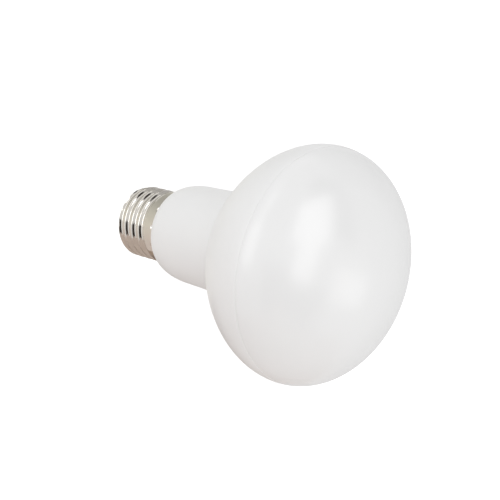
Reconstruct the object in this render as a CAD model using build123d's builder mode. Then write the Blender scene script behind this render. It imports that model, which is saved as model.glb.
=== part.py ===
from build123d import *
import os
from math import asin, cos, degrees, radians, sin

# Reflector bulb with a 27 mm screw cap, in millimetres. It stands on its axis: the tip of the
# centre contact lies on z = 0, the cap is below and the dome on top.

# Screw cap: a shell rolled from sheet, with a right-hand round thread and a plain skirt above it
thread_diameter = 26.05
thread_depth = 1.095
thread_pitch = 3.629
thread_start_angle = 29.0  # direction of the crest at the lower edge of the shell
thread_steps = 5  # straight steps that each arc of the round thread is drawn with
thread_height = 14.2  # the lampholder sets this, and the skirt takes up the rest of the shell
thread_runout = 2.0  # how far the thread goes on inside the skirt
shell_height = 20.0
shell_wall = 0.4  # sheet left between the root of the thread and the bore
shell_curl_height = 2.6  # the lower edge curls in over this height
shell_curl_rim = 0.3  # width of the flat that is left on that edge
skirt_bevel = 0.8
skirt_proud = 0.2  # the skirt stands this much outside the crests

# Ring of punch marks that crimp the skirt on the housing
crimp_count = 12
crimp_diameter = 2.0
crimp_depth = 0.4
crimp_drop = 1.4  # from the upper edge of the skirt down to the middle of a mark
crimp_start_angle = -83.0

# Insulator that closes the lower end of the shell
insulator_height = 4.0
insulator_face_diameter = 13.4
insulator_dish = 0.5  # how far its cone is hollowed
insulator_plug_depth = 2.0

# Centre contact, a pressed button with a stem
contact_height = 1.4
contact_diameter = 9.6
contact_flat_diameter = 5.6
contact_edge = 0.4  # thickness at the edge of the button
contact_stem_diameter = 3.0
contact_stem_length = 3.0

# Housing: rounded shoulder, neck and rear bowl in one moulding
foot_diameter = 27.4
shoulder_height = 11.6
neck_lower_diameter = 35.2
neck_upper_diameter = 36.4
neck_height = 21.7
bulb_diameter = 80.0
bowl_height = 31.1
bowl_turn_height = 16.8  # at this height the flare's first direction meets the widest diameter
rim_height = 2.6  # from the widest point up to the seam with the dome
rim_wall = 2.0
rim_edge_radius = 0.4

# Opal dome, the front of an ellipsoid whose middle lies at the widest point
dome_height = 24.7
dome_inset = 0.15  # the dome is this much smaller than the rim it sits in
dome_edge_radius = 0.3
register_depth = 2.0

# Room between pieces that go into each other, and what a cut reaches past a surface
fit_clearance = 0.1
cut_margin = 1.0

# Heights of the seams, from the contact's tip upwards
shell_bottom = contact_height + insulator_height
plug_top = shell_bottom + insulator_plug_depth
skirt_level = shell_bottom + thread_height
foot_level = shell_bottom + shell_height
neck_level = foot_level + shoulder_height
crease_level = neck_level + neck_height
widest_level = crease_level + bowl_height
seam_level = widest_level + rim_height

# Radii, and those that two pieces share
crest_radius = thread_diameter / 2
root_radius = crest_radius - thread_depth
bore_radius = root_radius - shell_wall
plug_radius = bore_radius - fit_clearance
shell_end_radius = bore_radius + shell_curl_rim
skirt_radius = crest_radius + skirt_proud
contact_radius = contact_diameter / 2
stem_radius = contact_stem_diameter / 2
foot_radius = foot_diameter / 2
neck_radius = neck_lower_diameter / 2
crease_radius = neck_upper_diameter / 2
bulb_radius = bulb_diameter / 2
dome_radius = bulb_radius - dome_inset

# The seam cuts the ellipse of rim and dome at this angle
seam_angle = degrees(asin(rim_height / dome_height))
rim_radius = bulb_radius * cos(radians(seam_angle))
recess_radius = rim_radius - rim_wall

# Crest and root of the thread are equal arcs that meet in the middle of the flank
thread_arc = ((thread_pitch / 4) ** 2 + (thread_depth / 2) ** 2) / thread_depth
thread_arc_angle = asin(thread_pitch / 4 / thread_arc)


def arc_corner(share):
    """Corner of the straight steps around an arc: how far along the axis and how far below its top."""
    reach = thread_arc / cos(thread_arc_angle / thread_steps)
    angle = thread_arc_angle * share / thread_steps
    return reach * sin(angle), thread_arc - reach * cos(angle)


def ridge_side():
    """Radius and height of the corners of half a ridge, from its crest down into the shell's wall."""
    corners = [arc_corner(share) for share in range(1, thread_steps, 2)]
    crest = [(crest_radius - drop, along) for along, drop in corners]
    root = [(root_radius + drop, thread_pitch / 2 - along) for along, drop in corners]
    (valley_radius, valley_edge), (step_radius, step_along) = root[:2]
    buried_along = (valley_edge + thread_pitch / 2) / 2
    lean = (valley_edge - step_along) / (step_radius - valley_radius)
    buried_radius = valley_radius - (buried_along - valley_edge) / lean
    foot = [(buried_radius, buried_along), (root_radius - shell_wall / 2, buried_along)]
    return crest + root[:0:-1] + foot


# Screw shell. The thread starts below the shell's lower edge and ends inside the skirt, so that the
# last valley narrows away under the skirt's bevel.
thread_start = shell_bottom - thread_pitch
thread_length = skirt_level + thread_runout - thread_start

with BuildPart() as screw_shell:
    with BuildSketch(Plane.XZ):
        with BuildLine():
            Polyline(
                (bore_radius, shell_bottom),
                (root_radius, shell_bottom),
                (root_radius, skirt_level),
                (skirt_radius - skirt_bevel, skirt_level),
                (skirt_radius, skirt_level + skirt_bevel),
                (skirt_radius, foot_level),
                (bore_radius, foot_level),
                close=True,
            )
        make_face()
    revolve(axis=Axis.Z)

    with BuildLine(Plane.XY.offset(thread_start).rotated((0, 0, thread_start_angle))) as climb:
        Helix(pitch=thread_pitch, height=thread_length, radius=root_radius)
    with BuildSketch(Plane.XZ.rotated((0, 0, thread_start_angle))):
        with BuildLine():
            upper = [(radius, thread_start + along) for radius, along in ridge_side()]
            lower = [(radius, thread_start - along) for radius, along in ridge_side()]
            Polyline(upper + lower[::-1], close=True)
        make_face()
    sweep(path=climb.line, is_frenet=True)
    split(bisect_by=Plane.XY.offset(shell_bottom), keep=Keep.TOP)

    # The lower edge curls in, which fades the first ridge out
    with BuildSketch(Plane.XZ):
        with BuildLine():
            curl = EllipticalCenterArc(
                (shell_end_radius, shell_bottom + shell_curl_height),
                skirt_radius - shell_end_radius,
                shell_curl_height,
                start_angle=-90,
                arc_size=90,
            )
            Polyline(
                curl @ 1,
                (skirt_radius + cut_margin, shell_bottom + shell_curl_height),
                (skirt_radius + cut_margin, shell_bottom - cut_margin),
                (shell_end_radius, shell_bottom - cut_margin),
                curl @ 0,
            )
        make_face()
    revolve(axis=Axis.Z, mode=Mode.SUBTRACT)

    with Locations((0, 0, foot_level - crimp_drop)):
        with PolarLocations(skirt_radius - crimp_depth, crimp_count, crimp_start_angle):
            Cylinder(
                crimp_diameter / 2,
                crimp_depth + cut_margin,
                rotation=(0, 90, 0),
                align=(Align.CENTER, Align.CENTER, Align.MIN),
                mode=Mode.SUBTRACT,
            )


# Insulator, with a plug in the shell's bore and a blind hole for the contact's stem
with BuildPart() as insulator:
    with BuildSketch(Plane.XZ):
        with BuildLine():
            cone_top = (shell_end_radius, shell_bottom)
            cone_foot = (insulator_face_diameter / 2, contact_height)
            SagittaArc(cone_top, cone_foot, -insulator_dish)
            Polyline(
                cone_foot,
                (0, contact_height),
                (0, plug_top),
                (plug_radius, plug_top),
                (plug_radius, shell_bottom),
                cone_top,
            )
        make_face()
    revolve(axis=Axis.Z)
    with BuildSketch(Plane.XY.offset(contact_height)):
        Circle(stem_radius + fit_clearance)
    extrude(amount=contact_stem_length + fit_clearance, mode=Mode.SUBTRACT)


# Centre contact, flat at its tip and domed towards its edge
with BuildPart() as centre_contact:
    with BuildSketch(Plane.XZ):
        with BuildLine():
            flat_end = (contact_flat_diameter / 2, 0)
            edge_foot = (contact_radius, contact_height - contact_edge)
            TangentArc(flat_end, edge_foot, tangent=(1, 0))
            Polyline(
                edge_foot,
                (contact_radius, contact_height),
                (stem_radius, contact_height),
                (stem_radius, contact_height + contact_stem_length),
                (0, contact_height + contact_stem_length),
                (0, 0),
                flat_end,
            )
        make_face()
    revolve(axis=Axis.Z)


# Housing, solid inside: a spigot in the shell, the shoulder, the neck and the flared bowl
with BuildPart() as housing:
    with BuildSketch(Plane.XZ):
        with BuildLine():
            shoulder = EllipticalCenterArc(
                (foot_radius, neck_level),
                neck_radius - foot_radius,
                shoulder_height,
                start_angle=-90,
                arc_size=90,
            )
            Line(shoulder @ 1, (crease_radius, crease_level))
            Bezier(
                (crease_radius, crease_level),
                (bulb_radius, crease_level + bowl_turn_height),
                (bulb_radius, widest_level),
            )
            rim = EllipticalCenterArc((0, widest_level), bulb_radius, dome_height, arc_size=seam_angle)
            Polyline(
                rim @ 1,
                (recess_radius, seam_level),
                (recess_radius, seam_level - register_depth),
                (0, seam_level - register_depth),
                (0, plug_top),
                (plug_radius, plug_top),
                (plug_radius, foot_level),
                shoulder @ 0,
            )
        make_face()
    revolve(axis=Axis.Z)
    rim_edge = housing.edges().group_by(Axis.Z)[-1].sort_by(SortBy.RADIUS)[-1]
    fillet(rim_edge, rim_edge_radius)


# Opal dome, solid inside, with a register that centres it in the rim
with BuildPart() as diffuser:
    with BuildSketch(Plane.XZ):
        with BuildLine():
            dome = EllipticalCenterArc(
                (0, widest_level),
                dome_radius,
                dome_height,
                start_angle=seam_angle,
                arc_size=90 - seam_angle,
            )
            Polyline(
                dome @ 1,
                (0, seam_level - register_depth + fit_clearance),
                (recess_radius - fit_clearance, seam_level - register_depth + fit_clearance),
                (recess_radius - fit_clearance, seam_level),
                dome @ 0,
            )
        make_face()
    revolve(axis=Axis.Z)
    dome_edge = diffuser.edges().filter_by(GeomType.CIRCLE).sort_by(SortBy.RADIUS)[-1]
    fillet(dome_edge, dome_edge_radius)


# One file for each piece
os.makedirs("parts", exist_ok=True)
pieces = {
    "screw_shell": screw_shell,
    "insulator": insulator,
    "centre_contact": centre_contact,
    "housing": housing,
    "diffuser": diffuser,
}
for name, piece in pieces.items():
    piece.part.label = name
    export_step(piece.part, f"parts/{name}.step")
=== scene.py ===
# Reflector bulb, 80 mm across, with a 27 mm screw cap. It stands on its axis: the tip of the centre
# contact is at the origin, the cap is below and the dome on top. All sizes are in metres.
import bpy
from math import asin, atan2, cos, hypot, pi, radians, sin, sqrt
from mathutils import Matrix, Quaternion, Vector


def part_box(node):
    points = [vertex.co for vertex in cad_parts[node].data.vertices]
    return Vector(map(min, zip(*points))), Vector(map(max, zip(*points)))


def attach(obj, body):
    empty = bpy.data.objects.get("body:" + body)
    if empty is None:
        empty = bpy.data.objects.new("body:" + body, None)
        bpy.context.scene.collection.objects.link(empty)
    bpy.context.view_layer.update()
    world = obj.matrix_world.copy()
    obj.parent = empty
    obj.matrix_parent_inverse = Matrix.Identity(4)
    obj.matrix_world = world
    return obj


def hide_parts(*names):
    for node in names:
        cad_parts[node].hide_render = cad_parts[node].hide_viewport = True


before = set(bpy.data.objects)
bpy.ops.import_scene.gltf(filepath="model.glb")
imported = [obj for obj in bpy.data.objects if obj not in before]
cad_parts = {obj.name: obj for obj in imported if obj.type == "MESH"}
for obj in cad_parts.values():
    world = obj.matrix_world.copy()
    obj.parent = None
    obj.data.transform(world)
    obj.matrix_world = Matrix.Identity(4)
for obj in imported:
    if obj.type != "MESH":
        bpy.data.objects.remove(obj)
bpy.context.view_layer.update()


# Screw shell
# A cup drawn from brass sheet with the round thread rolled into it, then nickel plated. Its plain skirt
# is pushed over the spigot of the housing and held there by a ring of punch marks.
mm = 0.001
shell_low, shell_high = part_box("screw_shell")
shell_bottom = shell_low.z
foot_level = shell_high.z
skirt_radius = shell_high.x
skirt_height = 5.8 * mm
skirt_level = foot_level - skirt_height
skirt_bevel = 0.8 * mm
crest_radius = 13.025 * mm
thread_depth = 1.095 * mm
root_radius = crest_radius - thread_depth
thread_pitch = 3.629 * mm
thread_start_angle = radians(29)
shell_wall = 0.4 * mm
bore_radius = root_radius - shell_wall
curl_height = 2.6 * mm
curl_rim = 0.3 * mm
shell_end_radius = bore_radius + curl_rim
punch_count = 12
punch_start_angle = radians(-83)
punch_inset = 1.0 * mm
punch_level = foot_level - punch_inset
punch_radius = 1.1 * mm
punch_depth = 0.45 * mm
punch_softness = 1.5
row_height = 0.18 * mm
shell_steps = 288
shell_crease_angle = radians(40)
merge_distance = 0.001 * mm
match_distance = 0.01 * mm


def turn_profile(name, outline, steps):
    """Draws an outline of (radius, height) corners by extruding one vertex along it, and spins it."""
    bpy.ops.object.select_all(action="DESELECT")
    bpy.ops.mesh.primitive_plane_add(size=mm, enter_editmode=True)
    piece = bpy.context.object
    piece.name = piece.data.name = name
    bpy.ops.mesh.select_mode(type="VERT")
    bpy.ops.mesh.merge(type="CENTER")
    corners = [Vector((radius, 0, height)) for radius, height in outline]
    bpy.ops.transform.translate(value=corners[0])
    for start, end in zip(corners, corners[1:]):
        bpy.ops.mesh.extrude_region_move(TRANSFORM_OT_translate={"value": end - start})
    bpy.ops.mesh.select_all(action="SELECT")
    bpy.ops.mesh.spin(steps=steps, angle=2 * pi, center=(0, 0, 0), axis=(0, 0, 1))
    bpy.ops.mesh.select_all(action="SELECT")
    bpy.ops.mesh.remove_doubles(threshold=merge_distance)
    bpy.ops.mesh.normals_make_consistent(inside=False)
    bpy.ops.object.mode_set(mode="OBJECT")
    return piece


def curl_radius(height):
    """Outside radius of the lower edge, which curls in on a quarter ellipse."""
    share = max(0, 1 - (height - shell_bottom) / curl_height)
    return shell_end_radius + (skirt_radius - shell_end_radius) * sqrt(max(0, 1 - share**2))


wall_rows = round((foot_level - shell_bottom) / row_height)
wall = [shell_bottom + (foot_level - shell_bottom) * row / wall_rows for row in range(wall_rows + 1)]
shell_outline = [(bore_radius, foot_level), (bore_radius, shell_bottom)]
shell_outline += [(curl_radius(height), height) for height in wall]
shell_outline += [(bore_radius, foot_level)]
shell = turn_profile("shell", shell_outline, shell_steps)

thread_arc = ((thread_pitch / 4) ** 2 + (thread_depth / 2) ** 2) / thread_depth


def arc_drop(along):
    """How far an arc of the thread has fallen at this distance, along the axis, from its top."""
    return thread_arc - sqrt(thread_arc**2 - along**2)


def thread_radius(angle, height):
    """Radius of the rolled thread at a place on the wall."""
    turn = ((height - shell_bottom) / thread_pitch - (angle - thread_start_angle) / (2 * pi)) % 1
    along = thread_pitch * min(turn, 1 - turn)
    if along < thread_pitch / 4:
        return crest_radius - arc_drop(along)
    return root_radius + arc_drop(thread_pitch / 2 - along)


def skirt_outside(height):
    """Outside radius of the skirt, whose lower edge is bevelled, and 0 below it."""
    if height < skirt_level:
        return 0
    return skirt_radius - max(0, skirt_bevel - (height - skirt_level))


def punch_drop(angle, height):
    """How far the nearest punch mark has pressed the skirt in at a place on it."""
    spacing = 2 * pi / punch_count
    off_angle = (angle - punch_start_angle + spacing / 2) % spacing - spacing / 2
    away = hypot(off_angle * skirt_radius, height - punch_level) / punch_radius
    return punch_depth * max(0, 1 - away**2) ** punch_softness


for vertex in shell.data.vertices:
    radius = hypot(vertex.co.x, vertex.co.y)
    angle = atan2(vertex.co.y, vertex.co.x)
    height = vertex.co.z
    if radius < bore_radius + match_distance:
        continue
    outside = max(thread_radius(angle, height), skirt_outside(height))
    rolled = min(radius, outside) - punch_drop(angle, height)
    vertex.co.x *= rolled / radius
    vertex.co.y *= rolled / radius
bpy.ops.object.shade_smooth_by_angle(angle=shell_crease_angle)


def linear(colour):
    """An sRGB hex colour as linear red, green, blue and alpha."""
    parts = [int(colour[start:start + 2], 16) / 255 for start in (1, 3, 5)]
    return [c / 12.92 if c <= 0.04045 else ((c + 0.055) / 1.055) ** 2.4 for c in parts] + [1]


def add_node(tree, kind, settings, links):
    """Adds a node, sets its properties and free sockets, and links those that are given an output."""
    node = tree.nodes.new(kind)
    for name, value in settings.items():
        if name in node.inputs.keys():
            node.inputs[name].default_value = value
        else:
            setattr(node, name, value)
    for name, output in links.items():
        tree.links.new(output, node.inputs[name])
    return node


def new_material(name):
    """A material with its node tree, its Principled shader and the place on the piece that it reads."""
    material = bpy.data.materials.new(name)
    material.use_nodes = True
    tree = material.node_tree
    place = add_node(tree, "ShaderNodeTexCoord", {}, {}).outputs["Object"]
    return material, tree, tree.nodes["Principled BSDF"], place


# Bright nickel plate on rolled brass: a clear, slightly warm mirror, with faint streaks along the rolling
# and a soft clouding from handling. Rolling marks are about 0.05 mm apart and are drawn ten times as far.
streak_spacing = 0.5 * mm
streak_length = 20 * mm
streak_depth = 0.0006 * mm
cloud_width = 6 * mm
nickel, tree, shader, place = new_material("nickel_plate")
shader.inputs["Metallic"].default_value = 1
stretch = (1 / streak_length, 1 / streak_length, 1 / streak_spacing)
drawn = add_node(tree, "ShaderNodeMapping", {"Scale": stretch}, {"Vector": place})
streaks = add_node(tree, "ShaderNodeTexNoise", {"Scale": 1, "Detail": 3}, {"Vector": drawn.outputs[0]})
clouds = add_node(tree, "ShaderNodeTexNoise", {"Scale": 1 / cloud_width, "Detail": 3}, {"Vector": place})
tones = {"Color1": linear("#DCD8D2"), "Color2": linear("#D3CEC6")}
tint = add_node(tree, "ShaderNodeMixRGB", tones, {"Fac": clouds.outputs[0]})
tree.links.new(tint.outputs[0], shader.inputs["Base Color"])
dulled = {"From Min": 0.3, "From Max": 0.7, "To Min": 0.08, "To Max": 0.15}
polish = add_node(tree, "ShaderNodeMapRange", dulled, {"Value": streaks.outputs[0]})
tree.links.new(polish.outputs[0], shader.inputs["Roughness"])
relief = add_node(tree, "ShaderNodeBump", {"Distance": streak_depth}, {"Height": streaks.outputs[0]})
tree.links.new(relief.outputs[0], shader.inputs["Normal"])
shell.data.materials.clear()
shell.data.materials.append(nickel)
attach(shell, "root")
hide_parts("screw_shell")


# Insulator
# A moulded ring of black plastic that closes the lower end of the shell and holds the contact. The CAD
# solid has its form, and gets the finish of a mould that was spark eroded to a fine grain.
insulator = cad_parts["insulator"]

# Black phenolic moulding: dark, half matt, greyer where the filler lies near the surface. The grain of
# the mould is about 0.1 mm wide and is drawn four times as wide.
black_grain_width = 0.4 * mm
black_grain_depth = 0.012 * mm
filler_width = 2.5 * mm
black, tree, shader, place = new_material("black_moulded_plastic")
fine = {"Scale": 1 / black_grain_width, "Detail": 2}
grain = add_node(tree, "ShaderNodeTexNoise", fine, {"Vector": place})
filler = add_node(tree, "ShaderNodeTexNoise", {"Scale": 1 / filler_width, "Detail": 4}, {"Vector": place})
tones = {"Color1": linear("#1D1D20"), "Color2": linear("#2B2B2E")}
tint = add_node(tree, "ShaderNodeMixRGB", tones, {"Fac": filler.outputs[0]})
tree.links.new(tint.outputs[0], shader.inputs["Base Color"])
dulled = {"From Min": 0.3, "From Max": 0.7, "To Min": 0.34, "To Max": 0.5}
polish = add_node(tree, "ShaderNodeMapRange", dulled, {"Value": filler.outputs[0]})
tree.links.new(polish.outputs[0], shader.inputs["Roughness"])
relief = add_node(tree, "ShaderNodeBump", {"Distance": black_grain_depth}, {"Height": grain.outputs[0]})
tree.links.new(relief.outputs[0], shader.inputs["Normal"])
insulator.data.materials.clear()
insulator.data.materials.append(black)


# Centre contact
# A button pressed from brass sheet and nickel plated as the shell is, pushed into the insulator by its
# stem. The CAD solid has its form.
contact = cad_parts["centre_contact"]
contact.data.materials.clear()
contact.data.materials.append(nickel)


# Housing
# One white plastic moulding: the spigot inside the cap, the rounded shoulder over it, the neck and the
# rear bowl, whose rim takes the dome in a shallow recess.
housing_low, housing_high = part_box("housing")
dome_low, dome_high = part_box("diffuser")
bulb_radius = housing_high.x
seam_level = housing_high.z
spigot_level = housing_low.z
fit_clearance = 0.1 * mm
spigot_radius = bore_radius - fit_clearance
foot_radius = 13.7 * mm
shoulder_height = 11.6 * mm
neck_level = foot_level + shoulder_height
neck_radius = 17.6 * mm
neck_height = 21.7 * mm
crease_level = neck_level + neck_height
crease_radius = 18.2 * mm
bowl_turn_height = 16.8 * mm
bowl_turn_level = crease_level + bowl_turn_height
rim_height = 2.6 * mm
widest_level = seam_level - rim_height
dome_height = dome_high.z - widest_level
rim_wall = 2 * mm
rim_rounding = 0.05 * mm
rounding_segments = 4
recess_level = dome_low.z - fit_clearance
curve_points = 24
rim_points = 5
bulb_steps = 256
moulding_crease_angle = radians(30)


def quarter(share, middle, reach, height):
    """Point of an ellipse, from its foot at share 0 to its side at share 1."""
    return middle[0] + reach * sin(share * pi / 2), middle[1] - height * cos(share * pi / 2)


def bowl(share):
    """Point of the bowl's curve, from the crease with the neck to the widest place."""
    low, turn, high = (1 - share) ** 2, 2 * share * (1 - share), share**2
    radius = low * crease_radius + (turn + high) * bulb_radius
    return radius, low * crease_level + turn * bowl_turn_level + high * widest_level


def front(share):
    """Point of the ellipse of rim and dome, from the widest place to the top of the dome."""
    return bulb_radius * cos(share * pi / 2), widest_level + dome_height * sin(share * pi / 2)


def round_ring(piece, radius, level, rounding):
    """Rounds the edge that runs around a piece at this radius and level."""
    bpy.ops.object.mode_set(mode="EDIT")
    bpy.ops.mesh.select_mode(type="EDGE")
    bpy.ops.mesh.select_all(action="DESELECT")
    bpy.ops.object.mode_set(mode="OBJECT")
    places = [vertex.co for vertex in piece.data.vertices]
    on_ring = [hypot(hypot(p.x, p.y) - radius, p.z - level) < match_distance for p in places]
    for edge in piece.data.edges:
        edge.select = on_ring[edge.vertices[0]] and on_ring[edge.vertices[1]]
    bpy.ops.object.mode_set(mode="EDIT")
    bpy.ops.mesh.bevel(offset=rounding, segments=rounding_segments)
    bpy.ops.object.mode_set(mode="OBJECT")


shares = [point / curve_points for point in range(curve_points + 1)]
seam_share = asin(rim_height / dome_height) / (pi / 2)
shoulder_middle = (foot_radius, neck_level)
shoulder_reach = neck_radius - foot_radius
rim_radius = front(seam_share)[0]
recess_radius = rim_radius - rim_wall
housing_outline = [(0, spigot_level), (spigot_radius, spigot_level), (spigot_radius, foot_level)]
housing_outline += [quarter(s, shoulder_middle, shoulder_reach, shoulder_height) for s in shares]
housing_outline += [bowl(s) for s in shares]
housing_outline += [front(seam_share * point / rim_points) for point in range(1, rim_points + 1)]
housing_outline += [(recess_radius, seam_level), (recess_radius, recess_level), (0, recess_level)]
housing = turn_profile("housing_moulding", housing_outline, bulb_steps)
round_ring(housing, rim_radius, seam_level, rim_rounding)
bpy.ops.object.shade_smooth_by_angle(angle=moulding_crease_angle)

# White polycarbonate moulding: opaque and satin, with a hint of grey where the melt flowed slower. The
# spark-eroded grain of the mould is about 0.1 mm wide and is drawn six times as wide.
white_grain_width = 0.6 * mm
white_grain_depth = 0.003 * mm
flow_width = 14 * mm
white, tree, shader, place = new_material("white_moulded_plastic")
shader.inputs["IOR"].default_value = 1.53
fine = {"Scale": 1 / white_grain_width, "Detail": 2}
grain = add_node(tree, "ShaderNodeTexNoise", fine, {"Vector": place})
flow = add_node(tree, "ShaderNodeTexNoise", {"Scale": 1 / flow_width, "Detail": 3}, {"Vector": place})
tones = {"Color1": linear("#F2F2F2"), "Color2": linear("#EEEEEE")}
tint = add_node(tree, "ShaderNodeMixRGB", tones, {"Fac": flow.outputs[0]})
tree.links.new(tint.outputs[0], shader.inputs["Base Color"])
dulled = {"From Min": 0.3, "From Max": 0.7, "To Min": 0.31, "To Max": 0.39}
polish = add_node(tree, "ShaderNodeMapRange", dulled, {"Value": flow.outputs[0]})
tree.links.new(polish.outputs[0], shader.inputs["Roughness"])
relief = add_node(tree, "ShaderNodeBump", {"Distance": white_grain_depth}, {"Height": grain.outputs[0]})
tree.links.new(relief.outputs[0], shader.inputs["Normal"])
housing.data.materials.clear()
housing.data.materials.append(white)
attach(housing, "root")
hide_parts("housing")


# Dome
# The opal front, moulded in polycarbonate that is filled to scatter the light. Its register sits in the
# recess of the housing's rim, where it is welded.
dome_inset = 0.05 * mm
dome_rounding = 0.05 * mm
dome_share = 1 - dome_inset / bulb_radius
register_radius = recess_radius - fit_clearance
dome_points = curve_points * 2
dome_outline = [(0, dome_low.z), (register_radius, dome_low.z), (register_radius, seam_level)]
for point in range(dome_points + 1):
    radius, height = front(seam_share + (1 - seam_share) * point / dome_points)
    dome_outline.append((radius * dome_share, height))
dome = turn_profile("opal_dome", dome_outline, bulb_steps)
round_ring(dome, rim_radius * dome_share, seam_level, dome_rounding)
bpy.ops.object.shade_smooth_by_angle(angle=moulding_crease_angle)

# Opal polycarbonate: a smooth, even white with a soft gloss, a little clearer than the housing's satin.
# The skin waves slightly, as a moulding does that shrank as it cooled, which softens the gloss's outline.
haze_width = 22 * mm
wave_width = 7 * mm
wave_depth = 0.01 * mm
opal, tree, shader, place = new_material("opal_polycarbonate")
shader.inputs["IOR"].default_value = 1.55
haze = add_node(tree, "ShaderNodeTexNoise", {"Scale": 1 / haze_width, "Detail": 2}, {"Vector": place})
waves = add_node(tree, "ShaderNodeTexNoise", {"Scale": 1 / wave_width, "Detail": 1}, {"Vector": place})
tones = {"Color1": linear("#F0F0F0"), "Color2": linear("#ECECEC")}
tint = add_node(tree, "ShaderNodeMixRGB", tones, {"Fac": haze.outputs[0]})
tree.links.new(tint.outputs[0], shader.inputs["Base Color"])
dulled = {"From Min": 0.3, "From Max": 0.7, "To Min": 0.235, "To Max": 0.268}
polish = add_node(tree, "ShaderNodeMapRange", dulled, {"Value": haze.outputs[0]})
tree.links.new(polish.outputs[0], shader.inputs["Roughness"])
relief = add_node(tree, "ShaderNodeBump", {"Distance": wave_depth}, {"Height": waves.outputs[0]})
tree.links.new(relief.outputs[0], shader.inputs["Normal"])
dome.data.materials.clear()
dome.data.materials.append(opal)
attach(dome, "root")
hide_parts("diffuser")


# Floor and surround
# A white paper sweep well below the bulb, which hangs free above it, and an even white tent around both.
# The paper shows as plain white to the camera and in the metal, and still takes the bulb's shadow.
floor_level = -0.25
floor_size = 8
paper_glow = 0.3
tent_strength = 0.88
bpy.ops.object.select_all(action="DESELECT")
bpy.ops.mesh.primitive_plane_add(size=floor_size, location=(0, 0, floor_level))
floor = bpy.context.object
floor.name = "floor"
paper, tree, shader = new_material("white_paper")[:3]
shader.inputs["Base Color"].default_value = linear("#F4F4F4")
shader.inputs["Roughness"].default_value = 0.9
shader.inputs["Specular IOR Level"].default_value = 0.1
shader.inputs["Emission Color"].default_value = (paper_glow, paper_glow, paper_glow, 1)
path = add_node(tree, "ShaderNodeLightPath", {}, {})
seen = path.outputs["Is Camera Ray"]
for other in ("Is Glossy Ray", "Is Transmission Ray"):
    either = add_node(tree, "ShaderNodeMath", {"operation": "MAXIMUM"}, {0: seen, 1: path.outputs[other]})
    seen = either.outputs[0]
tree.links.new(seen, shader.inputs["Emission Strength"])
floor.data.materials.append(paper)

world = bpy.data.worlds.new("studio")
bpy.context.scene.world = world
world.use_nodes = True
background = world.node_tree.nodes["Background"]
background.inputs["Color"].default_value = (1, 1, 1, 1)
background.inputs["Strength"].default_value = tent_strength


# Lamps
# Softboxes: a large one overhead in two parts, a weaker one behind it and a low strip in front, also in
# two parts, which the gloss shows, and fills that only model the form. Places are given as seen with the
# camera on the -Y side, and the whole studio is then turned about the bulb's axis to the camera's side.
studio_turn = Quaternion((0, 0, 1), radians(120))
lamp_level = 0.70


def softbox(name, place, aim, width, depth, radiance, gloss):
    """A rectangular area lamp that shines this bright, where 1 is white paper, and is hidden from view."""
    bpy.ops.object.light_add(type="AREA", location=studio_turn @ Vector(place))
    lamp = bpy.context.object
    lamp.name = name
    lamp.rotation_mode = "QUATERNION"
    lamp.rotation_quaternion = studio_turn @ (Vector(aim) - Vector(place)).to_track_quat("-Z", "Y")
    lamp.data.shape = "RECTANGLE"
    lamp.data.size = width
    lamp.data.size_y = depth
    lamp.data.energy = radiance * pi * width * depth
    lamp.visible_camera = False
    lamp.visible_glossy = gloss
    lamp.visible_diffuse = not gloss


softbox("key_softbox", (-0.42, -0.15, lamp_level), (-0.42, -0.15, 0.0), 0.52, 0.46, 2.05, True)
softbox("key_end", (0.0, -0.13, lamp_level), (0.0, -0.13, 0.0), 0.32, 0.24, 2.05, True)
softbox("rear_softbox", (0.08, 0.42, lamp_level), (0.08, 0.42, 0.0), 0.22, 0.45, 1.25, True)
softbox("front_strip", (-0.03, -0.62, 0.08), (-0.03, 0.0, 0.05), 0.38, 0.24, 1.6, True)
softbox("strip_end", (-0.44, -0.62, 0.08), (0.0, 0.0, 0.05), 0.5, 0.08, 1.8, True)
softbox("front_fill", (0.0, -0.55, 0.5), (0.0, 0.0, 0.06), 0.6, 0.6, 0.35, False)
softbox("side_fill", (-0.5, -0.5, -0.05), (0.0, 0.0, 0.06), 0.4, 0.4, 0.6, False)
softbox("dome_fill", (0.4, 0.25, 0.75), (0.0, 0.0, 0.06), 0.5, 0.5, 0.5, False)


# Cards
# Boards around the bulb, hidden from the camera. The gloss and the metal show the dark ceiling around the
# key lamp, the pale walls behind and beside, a beige wall and the table, whose brown end is painted
# shadow of the bulb. A warm flag only tints the form.
ceiling_level = 0.72
ceiling_brown = "#261D19"
table_level = floor_level + 5 * mm
patch_level = floor_level + 8 * mm
table_reach = 0.4
table_white = "#F6F3E8"
down = (0, 0, -1)
up = (0, 0, 1)
leftward = (-1, 0, 0)
rightward = (1, 0, 0)
forward = (0, -1, 0)


def card(name, middle, facing, width, depth, colour, gloss):
    """A matt board at a place, square to the direction that it faces, which gloss or else form shows."""
    bpy.ops.object.select_all(action="DESELECT")
    bpy.ops.mesh.primitive_plane_add(size=1)
    board = bpy.context.object
    board.name = name
    board.scale = (width, depth, 1)
    board.rotation_mode = "QUATERNION"
    board.rotation_quaternion = Vector(facing).to_track_quat("Z", "Y")
    board.location = middle
    bpy.ops.object.transform_apply(location=True, rotation=True, scale=True)
    board.rotation_quaternion = studio_turn
    matt, tree, shader, place = new_material(name + "_matt")
    shader.inputs["Base Color"].default_value = linear(colour)
    shader.inputs["Roughness"].default_value = 0.9
    board.data.materials.append(matt)
    board.visible_camera = False
    board.visible_glossy = gloss
    board.visible_diffuse = not gloss
    board.visible_shadow = False
    return tree, shader, place


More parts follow.
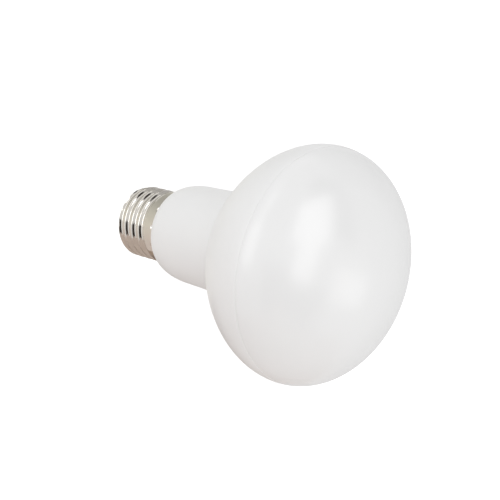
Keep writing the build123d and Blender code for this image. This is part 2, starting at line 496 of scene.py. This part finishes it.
card("ceiling_front", (0.62, -0.40, ceiling_level), down, 1.0, 1.15, ceiling_brown, True)
card("ceiling_rear", (-0.75, 0.22, ceiling_level), down, 1.1, 0.24, ceiling_brown, True)
card("ceiling_end", (-1.22, -0.1, ceiling_level), down, 0.94, 0.4, ceiling_brown, True)
card("rear_wall", (-0.2, 0.9, 0.05), forward, 1.6, 0.6, "#E4E4E4", True)
card("side_wall", (-0.6, 0.55, 0.1), rightward, 0.9, 0.7, "#D0D0D0", True)
card("beige_wall", (0.36, 0.1, 0.1), leftward, 0.7, 0.9, "#D6C6BD", True)
card("warm_flag", (0.5, -0.1, 0.0), leftward, 0.5, 0.5, "#C9B5AA", False)
# Painted shadow: two brown patches on the table, seen only in the gloss and the metal, stand in for the
# bulb's shadow there.
card("table_painted_shadow", (0.34, 0.22, patch_level), up, 0.22, 0.38, "#B6A393", True)
card("table_shadow", (0.17, 0.17, patch_level), up, 0.12, 0.28, "#94837A", True)
card("rear_table", (-0.1, 0.6, table_level), up, 1.4, 0.8, "#E6E6E6", True)

# The table's colour runs from grey at its left end over white to brown at its right end, where the brown
# is painted shadow of the bulb.
tree, shader, place = card("table", (0, -0.2, table_level), up, 1.2, 0.8, table_white, True)
along = add_node(tree, "ShaderNodeSeparateXYZ", {}, {"Vector": place})
ends = {"From Min": -table_reach, "From Max": table_reach}
share = add_node(tree, "ShaderNodeMapRange", ends, {"Value": along.outputs["X"]})
tone = add_node(tree, "ShaderNodeValToRGB", {}, {"Fac": share.outputs[0]})
tone.color_ramp.elements[0].color = linear("#9A9996")
tone.color_ramp.elements[1].color = linear("#B9A191")
for stop, colour in ((0.35, "#E4E3D9"), (0.55, table_white), (0.87, "#F2E6E1")):
    tone.color_ramp.elements.new(stop).color = linear(colour)
tree.links.new(tone.outputs["Color"], shader.inputs["Base Color"])


# Camera
# It looks down on the dome's side of the bulb from the front, and is rolled so that the axis runs to the
# right. Its sensor and lens are in millimetres, as Blender counts them.
camera_place = Vector((0, -0.32907, 0.35861))
camera_aim = Vector((0.00047, 0, 0.06031))
camera_roll = radians(104.93)
sensor_width = 36
focal_length = 93.6
bpy.ops.object.camera_add(location=studio_turn @ camera_place)
camera = bpy.context.object
camera.rotation_mode = "QUATERNION"
looking = (camera_aim - camera_place).to_track_quat("-Z", "Y")
camera.rotation_quaternion = studio_turn @ looking @ Quaternion((0, 0, 1), camera_roll)
camera.data.sensor_width = sensor_width
camera.data.lens = focal_length
bpy.context.scene.camera = camera

bpy.context.scene.view_settings.view_transform = "Standard"
